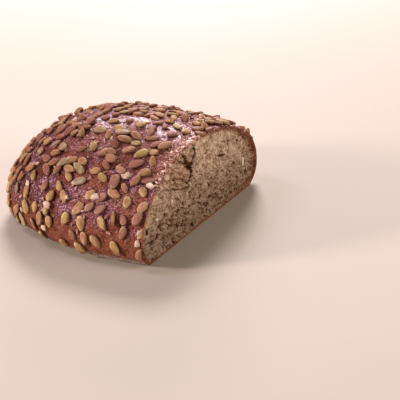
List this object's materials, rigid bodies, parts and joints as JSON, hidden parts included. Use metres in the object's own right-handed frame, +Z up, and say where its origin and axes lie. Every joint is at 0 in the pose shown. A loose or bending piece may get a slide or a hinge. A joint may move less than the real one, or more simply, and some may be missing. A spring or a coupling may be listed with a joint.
{
  "type": "pumpkin seed bread loaf",
  "caption": "Oval hearth loaf, sliced across, with pumpkin seeds baked into its brown crust, torn crumb on the cut face and a flat base to rest on.",
  "frame": {"origin": "on the table, in the middle of the cut loaf's footprint box", "axes": "+Z up from the flat base, +X out of the cut face, +Y along the cut towards the back of the loaf"},
  "size_m": [0.171, 0.2004, 0.0883],
  "materials": {
    "crust": "glossy red-brown baked crust with a fine crackle",
    "crumb": "matt tan crumb with fine dark pores",
    "pumpkin_seed": "satin toasted kernels, golden to grey-green"
  },
  "bodies": {
    "root": {"loaf": "crust"}
  },
  "joints": []
}
